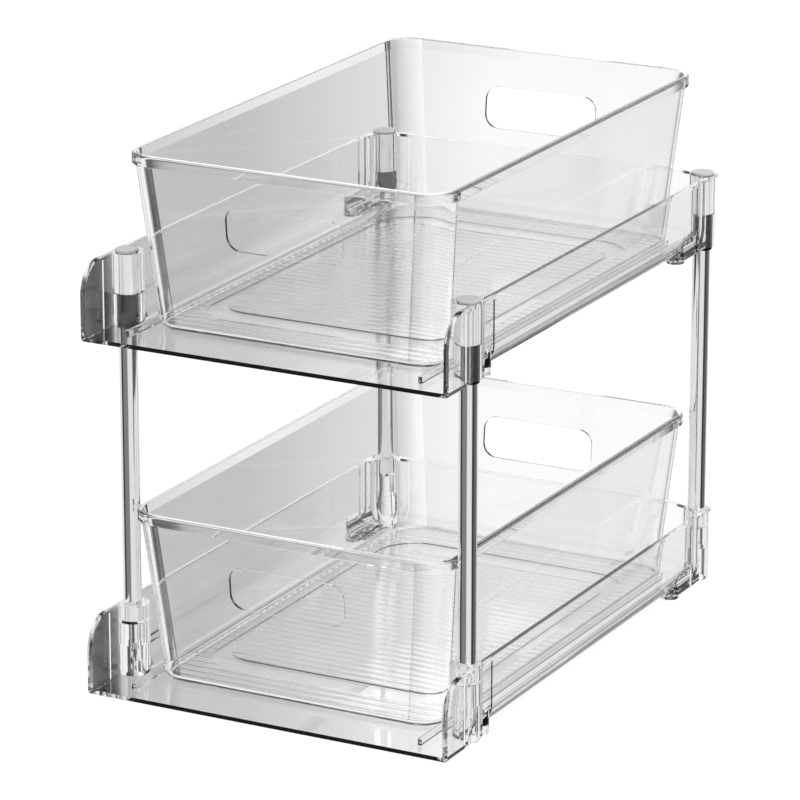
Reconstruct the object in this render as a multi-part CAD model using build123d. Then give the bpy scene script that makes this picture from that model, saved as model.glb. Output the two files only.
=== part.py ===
from build123d import *
import os

# Two-tier under sink organizer: two clear trays on four chrome posts, with a
# clear pull-out bin on each tray. Millimetres, +Z up, front towards -Y.
# The origin is on the ground, under the middle of the footprint.

# Overrun of every cutting tool past the face it cuts
overrun = 1.0

# Footprint and height of a tray
tray_width = 216.4
tray_depth = 329.0
tray_height = 42.0

# Tray walls, floor and rim
side_wall = 2.0
floor_thickness = 2.3
ground_gap = 0.5
rim_bead_width = 1.0
rim_bead_height = 2.0
tray_corner_radius = 22.0
tray_bottom_radius = 14.0

# Cheeks at the front ends of the side walls, and the set-in necks behind them
cheek_length = 19.7
cheek_top_radius = 17.0
cheek_bottom_radius = 2.0
neck_length = 33.3
neck_inset = 0.8

# Posts
post_diameter = 10.0
post_wall = 1.0
post_clearance = 0.08

# Black stop sleeves under the shoulders of the upper tray
sleeve_wall = 0.88
sleeve_grip_gap = 0.02
sleeve_clearance = 0.1
sleeve_drop = 1.2

# Bosses that take the posts
front_boss_wall = 3.2
rear_boss_wall = 1.2
rear_boss_bulge = 3.7
front_boss_setback = 35.8
shoulder_height = 19.2
post_engagement = 9.0
socket_web = 1.6

# Outer ribs and corner flanges beside the rear bosses
rear_rib_width = 10.6
rear_rib_setback = 21.0
flange_reach = 24.0

# Feet under the side walls
foot_radius = 5.0
front_foot_gap = 12.4
rear_foot_gap = 37.3

# Guide rails on the tray floor
rail_width = 2.2
rail_height = 3.5
rail_front_gap = 10.0
rail_rear_gap = 18.8
rail_clearance = 0.4

# Caps on top of the upper bosses
cap_inset = 0.9
cap_thickness = 1.2
cap_edge_round = 0.4
cap_spigot_length = 9.0
spigot_clearance = 0.1
cap_post_gap = 0.3

# Places of a bin between the posts and on the tray
bin_post_gap = 0.7
bin_front_setback = 20.2
bin_rear_setback = 1.7
bin_lift = 0.25
hand_room = 97.75

# Bin walls, floor and rim
bin_height = 95.7
bin_wall = 1.8
bin_floor = 2.0
bin_wall_lean = 9.2
bin_rim_overhang = 1.2
bin_rim_height = 5.8
bin_rim_round = 1.2
bin_corner_radius = 17.5
bin_base_corner_radius = 16.0
bin_outer_round = 4.0
bin_inner_round = 2.2

# Handle slots in the front and the back of a bin
slot_width = 69.0
slot_height = 24.0
slot_corner_radius = 8.0
slot_drop = 21.7

# Shallow ring groove and cross ribs on the bin floor
groove_depth = 0.5
groove_side_inset = 10.5
groove_end_inset = 26.75
groove_corner_radius = 24.0
groove_side_width = 6.5
groove_end_width = 16.0
groove_inner_radius = 17.0
floor_rib_pitch = 7.0
floor_rib_width = 5.6
floor_rib_height = 0.12
floor_rib_edge_gap = 2.4
floor_rib_end_gap = 5.0

# Heights that follow from the sizes above
floor_top = ground_gap + floor_thickness
bin_underside = floor_top + bin_lift
tier_pitch = bin_underside + bin_height + hand_room
post_seat = tray_height - post_engagement

# Radii of the fits between post, sleeve, cap and boss
post_radius = post_diameter / 2
bore_radius = post_radius + post_clearance
spigot_radius = post_radius - post_wall - spigot_clearance
sleeve_radius = post_radius + sleeve_grip_gap + sleeve_wall
socket_radius = sleeve_radius + sleeve_clearance
front_boss_radius = socket_radius + front_boss_wall
rear_boss_radius = socket_radius + rear_boss_wall

# Planes of the tray and places of the posts
half_width = tray_width / 2
half_depth = tray_depth / 2
wall_face = half_width - rim_bead_width
inner_face = wall_face - side_wall
back_face = half_depth - rear_boss_bulge
post_x = half_width - rear_boss_radius
front_post_y = front_boss_setback - half_depth
rear_post_y = half_depth - rear_boss_radius
corners = {
    "front_left": (-post_x, front_post_y),
    "front_right": (post_x, front_post_y),
    "rear_left": (-post_x, rear_post_y),
    "rear_right": (post_x, rear_post_y),
}

# Half sizes of a bin at its rim, at the top of its walls and at its base
rim_half_width = post_x - post_radius - bin_post_gap
rim_half_length = (tray_depth - bin_front_setback - bin_rear_setback) / 2
wall_half_width = rim_half_width - bin_rim_overhang
wall_half_length = rim_half_length - bin_rim_overhang
base_half_width = wall_half_width - bin_wall_lean
base_half_length = wall_half_length - bin_wall_lean
bin_middle_y = half_depth - bin_rear_setback - rim_half_length


def rod(x, y, radius, low, high):
    """Upright solid cylinder between two heights."""
    return Pos(x, y, low) * extrude(Circle(radius), high - low)


def pipe(x, y, outer, inner, low, high):
    """Upright tube between two heights."""
    return rod(x, y, outer, low, high) - rod(x, y, inner, low - overrun, high + overrun)


def brick(x_low, x_high, y_low, y_high, z_low, z_high):
    """Box between two opposite corners."""
    size = (x_high - x_low, y_high - y_low, z_high - z_low)
    middle = ((x_low + x_high) / 2, (y_low + y_high) / 2, (z_low + z_high) / 2)
    return Pos(*middle) * Box(*size)


def on_side(side, shape):
    """A shape made on the right, or its mirror image on the left."""
    return shape if side > 0 else mirror(shape, Plane.YZ)


def tray_block(half_across, front, back, radius, low, high):
    """Block with square front corners and round back corners."""
    block = brick(-half_across, half_across, front, back, low, high)
    back_edges = block.edges().filter_by(Axis.Z).group_by(Axis.Y)[-1]
    return fillet(back_edges, radius)


def round_bottom(block, radius):
    """Round the bottom edge along the sides and the back, not along the front."""
    bottom = block.edges().group_by(Axis.Z)[0]
    front_edge = bottom.sort_by(Axis.Y)[0]
    return fillet([edge for edge in bottom if not edge.is_same(front_edge)], radius)


def rim_bead():
    """Bead round the outside of the rim, with the flat plates at the back corners."""
    low = tray_height - rim_bead_height
    back = back_face + rim_bead_width
    bead = tray_block(half_width, -half_depth, back, tray_corner_radius, low, tray_height)
    flange_front = rear_post_y - flange_reach
    flange = brick(post_x - flange_reach, half_width, flange_front, back, low, tray_height)
    return bead + [on_side(side, flange) for side in (-1, 1)]


def cheek():
    """Flat front end of the right side wall, nearly square below, as far back as the front boss."""
    block = brick(inner_face - tray_bottom_radius, half_width, -half_depth, front_post_y,
                  ground_gap, tray_height)
    outer_bottom = block.edges().filter_by(Axis.Y).group_by(Axis.Z)[0].sort_by(Axis.X)[-1]
    return fillet(outer_bottom, cheek_bottom_radius)


def neck_waste():
    """What the set-in neck behind the right cheek leaves out, below the rim bead."""
    front = cheek_length - half_depth
    return brick(wall_face - neck_inset, half_width + overrun, front, front + neck_length,
                 ground_gap - overrun, tray_height - rim_bead_height)


def front_corner_waste():
    """What the quarter-round front top corners of the side walls leave out."""
    across = half_width + overrun
    axis_y = cheek_top_radius - half_depth
    axis_z = tray_height - cheek_top_radius
    corner = brick(-across, across, -half_depth - overrun, axis_y, axis_z, tray_height + overrun)
    outline = Plane.YZ * Pos(axis_y, axis_z) * Circle(cheek_top_radius)
    return corner - extrude(outline, across + overrun, both=True)


def rear_rib():
    """Upright rib on the outside of the right wall, where the round corner begins."""
    front = rear_post_y - rear_rib_setback
    return brick(inner_face, half_width, front, front + rear_rib_width,
                 ground_gap + cheek_bottom_radius, tray_height)


def rear_skirt():
    """Nearly square bottom of the right wall between the rear foot and the back of the rib."""
    back = rear_post_y - rear_rib_setback + rear_rib_width
    block = brick(wall_face - tray_bottom_radius, wall_face, rear_post_y - rear_foot_gap, back,
                  ground_gap, ground_gap + tray_bottom_radius)
    outer_bottom = block.edges().filter_by(Axis.Y).group_by(Axis.Z)[0].sort_by(Axis.X)[-1]
    return fillet(outer_bottom, cheek_bottom_radius)


def foot(y):
    """Round foot in the rounded bottom edge of the right wall, flush with its outer face."""
    return rod(wall_face - foot_radius, y, foot_radius, 0, ground_gap + tray_bottom_radius)


def tray_outside():
    """Outer form of a tray as one solid block."""
    walls = tray_block(wall_face, -half_depth, back_face, tray_corner_radius, ground_gap, tray_height)
    block = round_bottom(walls, tray_bottom_radius) + rim_bead()
    for side in (-1, 1):
        block += on_side(side, cheek())
        block -= on_side(side, neck_waste())
        block += on_side(side, rear_rib())
        block += on_side(side, rear_skirt())
        block += on_side(side, foot(front_post_y + front_foot_gap))
        block += on_side(side, foot(rear_post_y - rear_foot_gap))
    return block - front_corner_waste()


def tray_inside():
    """Space inside a tray, open at the top and the front, with square bottom corners at the cheeks."""
    space = tray_block(inner_face, -half_depth - overrun, back_face - side_wall,
                       tray_corner_radius - side_wall, floor_top, tray_height + overrun)
    between_cheeks = brick(-inner_face, inner_face, -half_depth - overrun, front_post_y,
                           floor_top, tray_height + overrun)
    return round_bottom(space, tray_bottom_radius - side_wall) + between_cheeks


def boss(x, y):
    """Solid boss round a post. A front boss is thicker on the inside of the neck."""
    column = rod(x, y, rear_boss_radius, ground_gap, tray_height)
    if y > 0:
        return column
    neck_face = wall_face - neck_inset
    limits = brick(-neck_face, neck_face, -half_depth, half_depth, ground_gap, tray_height)
    return column + (rod(x, y, front_boss_radius, ground_gap, tray_height) & limits)


def rail():
    """Guide rail on the tray floor with round ends, beside the right side of a bin."""
    front = rail_front_gap - half_depth
    back = back_face - side_wall - rail_rear_gap
    root = floor_top - floor_thickness / 2
    outline = SlotOverall(back - front, rail_width, rotation=90)
    x = base_half_width + rail_clearance + rail_width / 2
    return Pos(x, (front + back) / 2, root) * extrude(outline, floor_top + rail_height - root)


def tray(blind_sockets):
    """One tray, standing on the ground. The lower tray's sockets have a web to stop the posts."""
    body = tray_outside() - tray_inside()
    body += [boss(x, y) for x, y in corners.values()]
    body += [on_side(side, rail()) for side in (-1, 1)]
    for x, y in corners.values():
        body -= rod(x, y, bore_radius, -overrun, tray_height + overrun)
        body -= rod(x, y, socket_radius, -overrun, shoulder_height)
        if blind_sockets:
            body += rod(x, y, (bore_radius + socket_radius) / 2, post_seat - socket_web, post_seat)
    return body


def post(x, y):
    """Chrome tube from its seat in the lower tray to just under the cap."""
    top = tier_pitch + tray_height - cap_post_gap
    return pipe(x, y, post_radius, post_radius - post_wall, post_seat, top)


def stop_sleeve(x, y):
    """Black sleeve on a post, which carries the upper tray by its shoulder."""
    inner = post_radius + sleeve_grip_gap
    return pipe(x, y, sleeve_radius, inner, tier_pitch - sleeve_drop, tier_pitch + shoulder_height)


def cap(x, y):
    """Round cap on an upper boss, with a spigot down into the post."""
    seat = tier_pitch + tray_height
    disc = rod(x, y, rear_boss_radius - cap_inset, seat, seat + cap_thickness)
    disc = fillet(disc.edges().group_by(Axis.Z)[-1], cap_edge_round)
    return disc + rod(x, y, spigot_radius, seat - cap_spigot_length, seat)


def plate(half_across, half_along, radius, low, high):
    """Flat plate with four round corners."""
    outline = RectangleRounded(2 * half_across, 2 * half_along, radius)
    return Pos(0, 0, low) * extrude(outline, high - low)


def leaning_block(base, top, low, high):
    """Block whose sides lean outwards from its base outline to its top outline."""
    outlines = [Pos(0, 0, z) * RectangleRounded(2 * half_across, 2 * half_along, radius)
                for z, (half_across, half_along, radius) in ((low, base), (high, top))]
    return loft(outlines, ruled=True)


def bin_outside():
    """Outer form of a bin with its thick rim, as one solid block."""
    base = (base_half_width, base_half_length, bin_base_corner_radius)
    top = (wall_half_width, wall_half_length, bin_corner_radius - bin_rim_overhang)
    walls = leaning_block(base, top, 0, bin_height)
    walls = fillet(walls.edges().group_by(Axis.Z)[0], bin_outer_round)
    rim = plate(rim_half_width, rim_half_length, bin_corner_radius, bin_height - bin_rim_height, bin_height)
    return walls + fillet(rim.edges().group_by(Axis.Z)[-1], bin_rim_round)


def bin_inside():
    """Space inside a bin, above its floor."""
    low_in = bin_wall - bin_wall_lean * bin_floor / bin_height
    high_in = bin_wall - bin_wall_lean * overrun / bin_height
    base = (base_half_width - low_in, base_half_length - low_in, bin_base_corner_radius - bin_wall)
    top = (wall_half_width - high_in, wall_half_length - high_in,
           bin_corner_radius - bin_rim_overhang - bin_wall)
    space = leaning_block(base, top, bin_floor, bin_height + overrun)
    return fillet(space.edges().group_by(Axis.Z)[0], bin_inner_round)


def floor_groove():
    """Shallow ring groove in the bin floor."""
    outer_across = base_half_width - groove_side_inset
    outer_along = base_half_length - groove_end_inset
    low = bin_floor - groove_depth
    high = bin_floor + overrun
    outer = plate(outer_across, outer_along, groove_corner_radius, low, high)
    island = plate(outer_across - groove_side_width, outer_along - groove_end_width,
                   groove_inner_radius, low - overrun, high + overrun)
    return outer - island


def floor_ribs():
    """Low rounded ribs across the bin floor at an even pitch about its middle."""
    radius = (floor_rib_width ** 2 / 4 + floor_rib_height ** 2) / (2 * floor_rib_height)
    hump = Pos(0, floor_rib_height - radius) * Circle(radius)
    hump &= Rectangle(floor_rib_width, 2 * floor_rib_height)
    rib = extrude(Plane.YZ * hump, base_half_width, both=True)
    limits = plate(base_half_width - floor_rib_edge_gap, base_half_length - floor_rib_edge_gap,
                   bin_base_corner_radius - floor_rib_edge_gap, 0, bin_height)
    run = 2 * (base_half_length - floor_rib_end_gap)
    count = int(run / floor_rib_pitch) + 1
    places = [(index - (count - 1) / 2) * floor_rib_pitch for index in range(count)]
    return [(Pos(0, y, bin_floor) * rib) & limits for y in places]


def handle_slots():
    """One long cutter for the handle slots in the front and the back of a bin."""
    outline = Plane.XZ * RectangleRounded(slot_width, slot_height, slot_corner_radius)
    cutter = extrude(outline, rim_half_length + overrun, both=True)
    return Pos(0, 0, bin_height - slot_drop - slot_height / 2) * cutter


def pull_out_bin():
    """One bin about its own middle, with its underside at height zero."""
    body = bin_outside() - bin_inside()
    body += floor_ribs()
    return body - floor_groove() - handle_slots()


def write(name, shape):
    export_step(shape, f"parts/{name}.step")


os.makedirs("parts", exist_ok=True)

one_bin = pull_out_bin()
for tier, height in (("lower", 0), ("upper", tier_pitch)):
    write(f"{tier}_tray", Pos(0, 0, height) * tray(blind_sockets=tier == "lower"))
    write(f"{tier}_bin", Pos(0, bin_middle_y, height + bin_underside) * one_bin)
for corner, (x, y) in corners.items():
    write(f"post_{corner}", post(x, y))
    write(f"stop_sleeve_{corner}", stop_sleeve(x, y))
    write(f"cap_{corner}", cap(x, y))
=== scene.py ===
import math

import bpy
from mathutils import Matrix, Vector

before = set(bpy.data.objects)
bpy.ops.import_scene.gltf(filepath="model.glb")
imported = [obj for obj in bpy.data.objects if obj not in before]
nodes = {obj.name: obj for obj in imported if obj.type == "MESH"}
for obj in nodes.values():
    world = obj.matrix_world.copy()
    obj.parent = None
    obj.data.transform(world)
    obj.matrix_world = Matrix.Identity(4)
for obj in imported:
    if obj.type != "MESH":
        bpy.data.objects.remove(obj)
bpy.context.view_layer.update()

# Clear moulded plastic: its own colour looked at straight, the painted shade that darkens it where it is
# looked along and stands in for its dark edges, how late that painted shade comes in, and how much light a metre of
# it takes away
PLASTIC_FACE_ON = (0.994, 0.994, 0.996, 1.0)
PLASTIC_PAINTED_EDGE_SHADE = (0.6, 0.6, 0.61, 1.0)
PAINTED_EDGE_SHADE_LATENESS = 8.0
PLASTIC_SMOKE = 9.0
PLASTIC_IOR = 1.49
PLASTIC_POLISH = 0.012
PLASTIC_SCUFFING = 0.02
FLOW_DEPTH = 0.00025
FLOW_STRENGTH = 0.6

# Bright plating of the posts
CHROME_DULL = 0.8
CHROME_BRIGHT = 0.86
CHROME_POLISH = 0.06
CHROME_HAZE = 0.05
DRAW_LINE_STRETCH = (1.0, 1.0, 0.012)
DRAW_LINE_DEPTH = 0.00002
DRAW_LINE_STRENGTH = 0.35

# Fine grain of the small plastic parts
GRAIN_DEPTH = 0.00004
GRAIN_STRENGTH = 0.5
GRAIN_ROUGHNESS = 0.12

# Noise patterns: how many to a metre, and how fine
FLOW = (16.0, 1.0)
SCUFFS = (900.0, 3.0)
DRAW_LINES = (2600.0, 2.0)
PLATING_HAZE = (60.0, 3.0)
GRAIN = (3200.0, 2.0)
CLOUD = (90.0, 2.0)

# Studio floor
FLOOR_HALF = 6.0
FLOOR_DROP = 0.0002
FLOOR_GLOW = 0.5
FLOOR_GLOW_TO_EYE = 0.4
FLOOR_PAINT = 0.2

# Studio lighting: pale walls all round, with black cloths and grey screens in front of them. They hang where the
# posts' stripes and the dark edges of the plastic come out as in the photograph
PALE_WALL = 0.9
MIDDLE_SCREEN = 0.5
GREY_SCREEN = 0.25
DARK_SCREEN = 0.15
BLACK_CLOTH = 0.05

# Brightness of the studio round the object, as the posts mirror it and as it shows through the clear plastic:
# pairs of a compass direction in degrees and a level
MIRRORED_WALLS = [
    (0, BLACK_CLOTH), (10, BLACK_CLOTH), (15, DARK_SCREEN), (50, DARK_SCREEN), (55, MIDDLE_SCREEN),
    (75, MIDDLE_SCREEN), (85, PALE_WALL), (195, PALE_WALL), (200, BLACK_CLOTH), (220, BLACK_CLOTH),
    (230, GREY_SCREEN), (280, GREY_SCREEN), (290, PALE_WALL), (340, PALE_WALL), (350, BLACK_CLOTH),
    (360, BLACK_CLOTH),
]
WALLS_BEHIND = [
    (0, 1.0), (19, 1.0), (21, 0.5), (25, 0.5), (27, 1.0), (53, 1.0), (56, 0.55), (72, 0.45), (75, 1.0),
    (97, 1.0), (99, 0.1), (107, 0.1), (110, 1.0), (122, 1.0), (124, 0.05), (128, 0.05), (130, 1.0),
    (154, 1.0), (156, 0.5), (160, 0.5), (162, 1.0), (200, 1.0), (202, 0.5), (206, 0.5), (208, 1.0),
]
FULL_TURN = 360.0

# Panels in the studio: the ceiling with its beam, the skirting, the table top, the shaded wall, and the dark
# strip that stands in front of it. A compass direction is in degrees, and a height is the upward part of a
# direction of length one. A slope says how sharply a panel ends, and a depth how dark it is. The shaded wall and
# the strip are placed for the photograph's view of the left walls and the left ears
CEILING_START, CEILING_SLOPE = 0.05, 10.0
CEILING_GAIN = 2.0
BEAM_HEIGHT, BEAM_HALF_WIDTH, BEAM_SLOPE = 0.6, 0.1, 16.0
BEAM_DEPTH_MIRRORED, BEAM_DEPTH_BEHIND = 0.9, 0.95
SKIRTING_HALF_WIDTH, SKIRTING_SLOPE, SKIRTING_DEPTH = 0.075, 30.0, 0.85
TABLE_TOP_START, TABLE_TOP_SLOPE = -0.5, 6.0
SHADED_WALL_START, SHADED_WALL_SLOPE, SHADED_WALL_DEPTH = 116.8, 1.0 / 3.0, 0.44
SHADED_WALL_END, SHADED_WALL_END_SLOPE = 128.0, 0.5
STRIP_PLACE, STRIP_HALF_WIDTH, STRIP_SLOPE, STRIP_DEPTH = 121.57, 0.13, 16.0, 0.97
STRIP_SIDE_START, STRIP_SIDE_DEPTH = 121.68, 0.75
PLAIN_LEVEL = 0.8

# Key lamp
KEY_PLACE = (1.0, -0.6, 1.6)
KEY_TARGET = (0.0, 0.0, 0.15)
KEY_SIDE = 1.2
KEY_POWER = 9.0

# Camera, at the photograph's viewing angle
CAMERA_PLACE = (1.1776, -2.2374, 0.9286)
CAMERA_TARGET = (-0.0125, 0.0113, 0.1301)
LENS_LENGTH = 218.65
SENSOR_WIDTH = 36.0
VIEW_START = 0.05
VIEW_END = 60.0

# How often light may bend or bounce on its way through the walls of the trays and bins
MOST_TURNS = 36
TURNS_OF_A_KIND = 28


class Wire:
    """A node socket that can be used in sums like a number."""

    def __init__(self, finish, socket):
        self.finish = finish
        self.socket = socket

    def _sum(self, kind, first, second=0.0, clamp=False):
        return self.finish.add("ShaderNodeMath", {"operation": kind, "use_clamp": clamp}, {0: first, 1: second})

    def __add__(self, other):
        return self._sum("ADD", self, other)

    def __radd__(self, other):
        return self._sum("ADD", other, self)

    def __sub__(self, other):
        return self._sum("SUBTRACT", self, other)

    def __rsub__(self, other):
        return self._sum("SUBTRACT", other, self)

    def __mul__(self, other):
        return self._sum("MULTIPLY", self, other)

    def __rmul__(self, other):
        return self._sum("MULTIPLY", other, self)

    def __truediv__(self, other):
        return self._sum("DIVIDE", self, other)

    def __rtruediv__(self, other):
        return self._sum("DIVIDE", other, self)

    def __pow__(self, other):
        return self._sum("POWER", self, other)

    def __rpow__(self, other):
        return self._sum("POWER", other, self)

    def absolute(self):
        return self._sum("ABSOLUTE", self)

    def largest(self, other):
        return self._sum("MAXIMUM", self, other)

    def kept_in(self):
        """The value, held between 0 and 1."""
        return self._sum("ADD", self, 0.0, clamp=True)

    def above(self, start, slope):
        """0 up to the start, then rising to 1."""
        return ((self - start) * slope).kept_in()

    def below(self, start, slope):
        """0 down to the start, then rising to 1."""
        return ((start - self) * slope).kept_in()

    def near(self, middle, half_width, slope):
        """1 within half a width of the middle, and 0 well outside."""
        return (1.0 - ((self - middle).absolute() - half_width) * slope).kept_in()


class Finish:
    """The node tree of one material or of the world."""

    def __init__(self, owner):
        owner.use_nodes = True
        self.owner = owner
        self.nodes = owner.node_tree.nodes
        self.links = owner.node_tree.links
        self.nodes.clear()

    def add(self, kind, settings=(), sockets=(), out=0):
        """Adds a node: its settings first, then the values or links of its sockets."""
        node = self.nodes.new(kind)
        for name, value in dict(settings).items():
            if name == "stops":
                ramp = node.color_ramp
                while len(ramp.elements) < len(value):
                    ramp.elements.new(0.5)
                for stop, (place, level) in zip(ramp.elements, value):
                    stop.position = place
                    stop.color = grey(level)
            else:
                setattr(node, name, value)
        for name, value in dict(sockets).items():
            if isinstance(value, Wire):
                self.links.new(value.socket, node.inputs[name])
            else:
                node.inputs[name].default_value = value
        return Wire(self, node.outputs[out])

    def parts(self, vector):
        """The three numbers of a vector."""
        split = self.add("ShaderNodeSeparateXYZ", (), {0: vector}).socket.node
        return [Wire(self, socket) for socket in split.outputs]

    def tone(self, amount, low, high):
        """A colour between two colours."""
        return self.add("ShaderNodeMix", {"data_type": "RGBA"}, {0: amount, 6: low, 7: high}, out=2)

    def place(self):
        return self.add("ShaderNodeTexCoord", out="Object")

    def noise(self, place, pattern):
        scale, detail = pattern
        return self.add("ShaderNodeTexNoise", (), {"Vector": place, "Scale": scale, "Detail": detail})

    def stretched(self, place, factors):
        return self.add("ShaderNodeVectorMath", {"operation": "MULTIPLY"}, {0: place, 1: factors})

    def bump(self, height, depth, strength):
        return self.add("ShaderNodeBump", (), {"Height": height, "Distance": depth, "Strength": strength})

    def ray(self, kind):
        """1 for light of a kind: on its way to the Camera, through clear plastic or off a mirror."""
        return self.add("ShaderNodeLightPath", out=f"Is {kind} Ray")

    def surface(self, shader, inside=None):
        kind = "ShaderNodeOutputWorld" if isinstance(self.owner, bpy.types.World) else "ShaderNodeOutputMaterial"
        output = self.nodes.new(kind)
        self.links.new(shader.socket, output.inputs["Surface"])
        if inside:
            self.links.new(inside.socket, output.inputs["Volume"])


def new_finish(name):
    material = bpy.data.materials.new(name)
    return material, Finish(material)


def grey(level):
    return (level, level, level, 1.0)


def clear_plastic(name):
    """Clear moulded plastic, with painted shade that darkens its colour where it is looked along, and real darkening
    through its thick parts.
    """
    material, finish = new_finish(name)
    facing = finish.add("ShaderNodeLayerWeight", out="Facing")
    place = finish.place()
    plastic = finish.add("ShaderNodeBsdfPrincipled", (), {
        # Painted shade: the colour darkens where the surface is looked along, standing in for the plastic's dark
        # edges
        "Base Color": finish.tone((facing ** PAINTED_EDGE_SHADE_LATENESS).kept_in(), PLASTIC_FACE_ON, PLASTIC_PAINTED_EDGE_SHADE),
        "Roughness": PLASTIC_POLISH + PLASTIC_SCUFFING * finish.noise(place, SCUFFS),
        "IOR": PLASTIC_IOR,
        "Transmission Weight": 1.0,
        "Normal": finish.bump(finish.noise(place, FLOW), FLOW_DEPTH, FLOW_STRENGTH),
    })
    smoke = finish.add("ShaderNodeVolumeAbsorption", (), {"Color": grey(0.0), "Density": PLASTIC_SMOKE})
    finish.surface(plastic, smoke)
    return material


def chrome(name):
    """Bright plated tube, with faint draw lines along it."""
    material, finish = new_finish(name)
    place = finish.place()
    lines = finish.noise(finish.stretched(place, DRAW_LINE_STRETCH), DRAW_LINES)
    haze = finish.noise(place, PLATING_HAZE)
    finish.surface(finish.add("ShaderNodeBsdfPrincipled", (), {
        "Base Color": finish.tone(haze, grey(CHROME_DULL), grey(CHROME_BRIGHT)),
        "Metallic": 1.0,
        "Roughness": CHROME_POLISH + CHROME_HAZE * haze,
        "Normal": finish.bump(lines, DRAW_LINE_DEPTH, DRAW_LINE_STRENGTH),
    }))
    return material


def satin_plastic(name, dark, pale, roughness, gloss):
    """Moulded plastic with a fine spark-eroded grain, in a grey that varies softly."""
    material, finish = new_finish(name)
    place = finish.place()
    grain = finish.noise(place, GRAIN)
    finish.surface(finish.add("ShaderNodeBsdfPrincipled", (), {
        "Base Color": finish.tone(finish.noise(place, CLOUD), grey(dark), grey(pale)),
        "Roughness": roughness + GRAIN_ROUGHNESS * grain,
        "Specular IOR Level": gloss,
        "Normal": finish.bump(grain, GRAIN_DEPTH, GRAIN_STRENGTH),
    }))
    return material


def dress(node, material):
    nodes[node].material_slots[0].material = material


def dress_organizer():
    """Gives every CAD node its finish."""
    bin_plastic = clear_plastic("clear_bin_plastic")
    tray_plastic = clear_plastic("clear_tray_plastic")
    post_chrome = chrome("post_chrome")
    sleeve_black = satin_plastic("sleeve_black", dark=0.001, pale=0.004, roughness=0.12, gloss=0.05)
    cap_grey = satin_plastic("cap_grey", dark=0.62, pale=0.68, roughness=0.5, gloss=0.5)
    for tier in ("lower", "upper"):
        dress(f"{tier}_bin", bin_plastic)
        dress(f"{tier}_tray", tray_plastic)
    for corner in ("front_left", "front_right", "rear_left", "rear_right"):
        dress(f"post_{corner}", post_chrome)
        dress(f"stop_sleeve_{corner}", sleeve_black)
        dress(f"cap_{corner}", cap_grey)


def studio_floor():
    """Wide pale floor, which shows plain white and keeps the object's soft shadow."""
    mesh = bpy.data.meshes.new("studio_floor")
    corners = [(-FLOOR_HALF, -FLOOR_HALF, 0.0), (FLOOR_HALF, -FLOOR_HALF, 0.0),
               (FLOOR_HALF, FLOOR_HALF, 0.0), (-FLOOR_HALF, FLOOR_HALF, 0.0)]
    mesh.from_pydata(corners, [], [(0, 1, 2, 3)])
    floor = bpy.data.objects.new("studio_floor", mesh)
    bpy.context.scene.collection.objects.link(floor)
    floor.location.z = -FLOOR_DROP
    floor.visible_glossy = False
    floor.visible_transmission = False
    material, finish = new_finish("studio_floor")
    glow = finish.add("ShaderNodeEmission", (), {
        "Color": grey(1.0),
        "Strength": FLOOR_GLOW + FLOOR_GLOW_TO_EYE * finish.ray("Camera"),
    })
    paint = finish.add("ShaderNodeBsdfDiffuse", (), {"Color": grey(FLOOR_PAINT)})
    finish.surface(finish.add("ShaderNodeAddShader", (), {0: glow, 1: paint}))
    mesh.materials.append(material)


def wall_levels(finish, turn, walls):
    stops = [(degrees / FULL_TURN, level) for degrees, level in walls]
    return finish.add("ShaderNodeValToRGB", {"stops": stops}, {0: turn})


def compass_turn(finish, x, y):
    """Compass direction as a share of a full turn, from 0 at +X."""
    angle = finish.add("ShaderNodeMath", {"operation": "ARCTAN2"}, {0: y, 1: x})
    return finish.add("ShaderNodeMath", {"operation": "FRACT"}, {0: angle / math.tau + 1.0})


def studio_walls_behind(finish, turn, z):
    """What shows through the clear plastic: pale walls with dark panels, and a white table top."""
    degrees = turn * FULL_TURN
    before_end = 1.0 - degrees.above(SHADED_WALL_END, SHADED_WALL_END_SLOPE)
    shaded_wall = degrees.above(SHADED_WALL_START, SHADED_WALL_SLOPE) * before_end
    strip = degrees.near(STRIP_PLACE, STRIP_HALF_WIDTH, STRIP_SLOPE)
    strip_side = degrees.above(STRIP_SIDE_START, STRIP_SLOPE) * before_end
    walls = wall_levels(finish, turn, WALLS_BEHIND) * (1.0 - SHADED_WALL_DEPTH * shaded_wall)
    walls = walls * (1.0 - STRIP_DEPTH * strip) * (1.0 - STRIP_SIDE_DEPTH * strip_side)
    table_top = z.below(TABLE_TOP_START, TABLE_TOP_SLOPE)
    skirting = z.absolute().below(SKIRTING_HALF_WIDTH, SKIRTING_SLOPE)
    beam = z.near(BEAM_HEIGHT, BEAM_HALF_WIDTH, BEAM_SLOPE)
    return walls.largest(table_top) * (1.0 - SKIRTING_DEPTH * skirting) * (1.0 - BEAM_DEPTH_BEHIND * beam)


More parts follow.
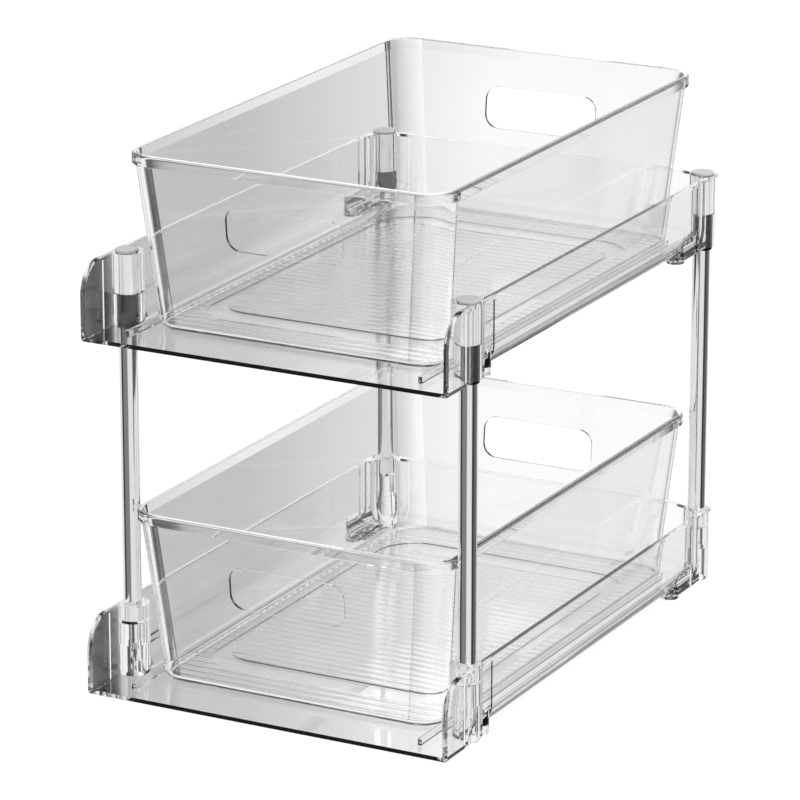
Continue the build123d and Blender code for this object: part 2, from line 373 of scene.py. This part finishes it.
def studio_walls_mirrored(finish, turn, z):
    """What chrome and gloss reflect: pale and dark walls under a bright ceiling with a dark beam."""
    high = z.above(CEILING_START, CEILING_SLOPE)
    ceiling = 1.0 - BEAM_DEPTH_MIRRORED * z.near(BEAM_HEIGHT, BEAM_HALF_WIDTH, BEAM_SLOPE)
    return (1.0 - high) * wall_levels(finish, turn, MIRRORED_WALLS) + high * ceiling * CEILING_GAIN


def studio_world():
    """Plain white to the eye. Clear plastic and metal see the walls of a studio, and the rest a plain level."""
    world = bpy.data.worlds.new("studio")
    bpy.context.scene.world = world
    finish = Finish(world)
    x, y, z = finish.parts(finish.add("ShaderNodeTexCoord", out="Generated"))
    turn = compass_turn(finish, x, y)
    eye = finish.ray("Camera")
    through = finish.ray("Transmission")
    mirrored = finish.ray("Glossy") * (1.0 - through)
    level = (eye + through * studio_walls_behind(finish, turn, z) + mirrored * studio_walls_mirrored(finish, turn, z)
             + (1.0 - eye - through - mirrored) * PLAIN_LEVEL)
    finish.surface(finish.add("ShaderNodeBackground", (), {"Color": grey(1.0), "Strength": level}))


def aimed(thing, name, place, target):
    """Puts a lamp or a camera in the scene, turned to its target."""
    holder = bpy.data.objects.new(name, thing)
    bpy.context.scene.collection.objects.link(holder)
    holder.location = place
    holder.rotation_euler = (Vector(target) - Vector(place)).to_track_quat("-Z", "Y").to_euler()
    return holder


def key_lamp():
    light = bpy.data.lights.new("key_panel", "AREA")
    light.shape = "RECTANGLE"
    light.size = light.size_y = KEY_SIDE
    light.energy = KEY_POWER
    aimed(light, "key_panel", KEY_PLACE, KEY_TARGET)


def camera():
    lens = bpy.data.cameras.new("camera")
    lens.sensor_width = SENSOR_WIDTH
    lens.lens = LENS_LENGTH
    lens.clip_start = VIEW_START
    lens.clip_end = VIEW_END
    bpy.context.scene.camera = aimed(lens, "camera", CAMERA_PLACE, CAMERA_TARGET)


dress_organizer()
studio_floor()
studio_world()
key_lamp()
camera()

scene = bpy.context.scene
scene.view_settings.view_transform = "Standard"
scene.cycles.max_bounces = MOST_TURNS
scene.cycles.transmission_bounces = TURNS_OF_A_KIND
scene.cycles.glossy_bounces = TURNS_OF_A_KIND
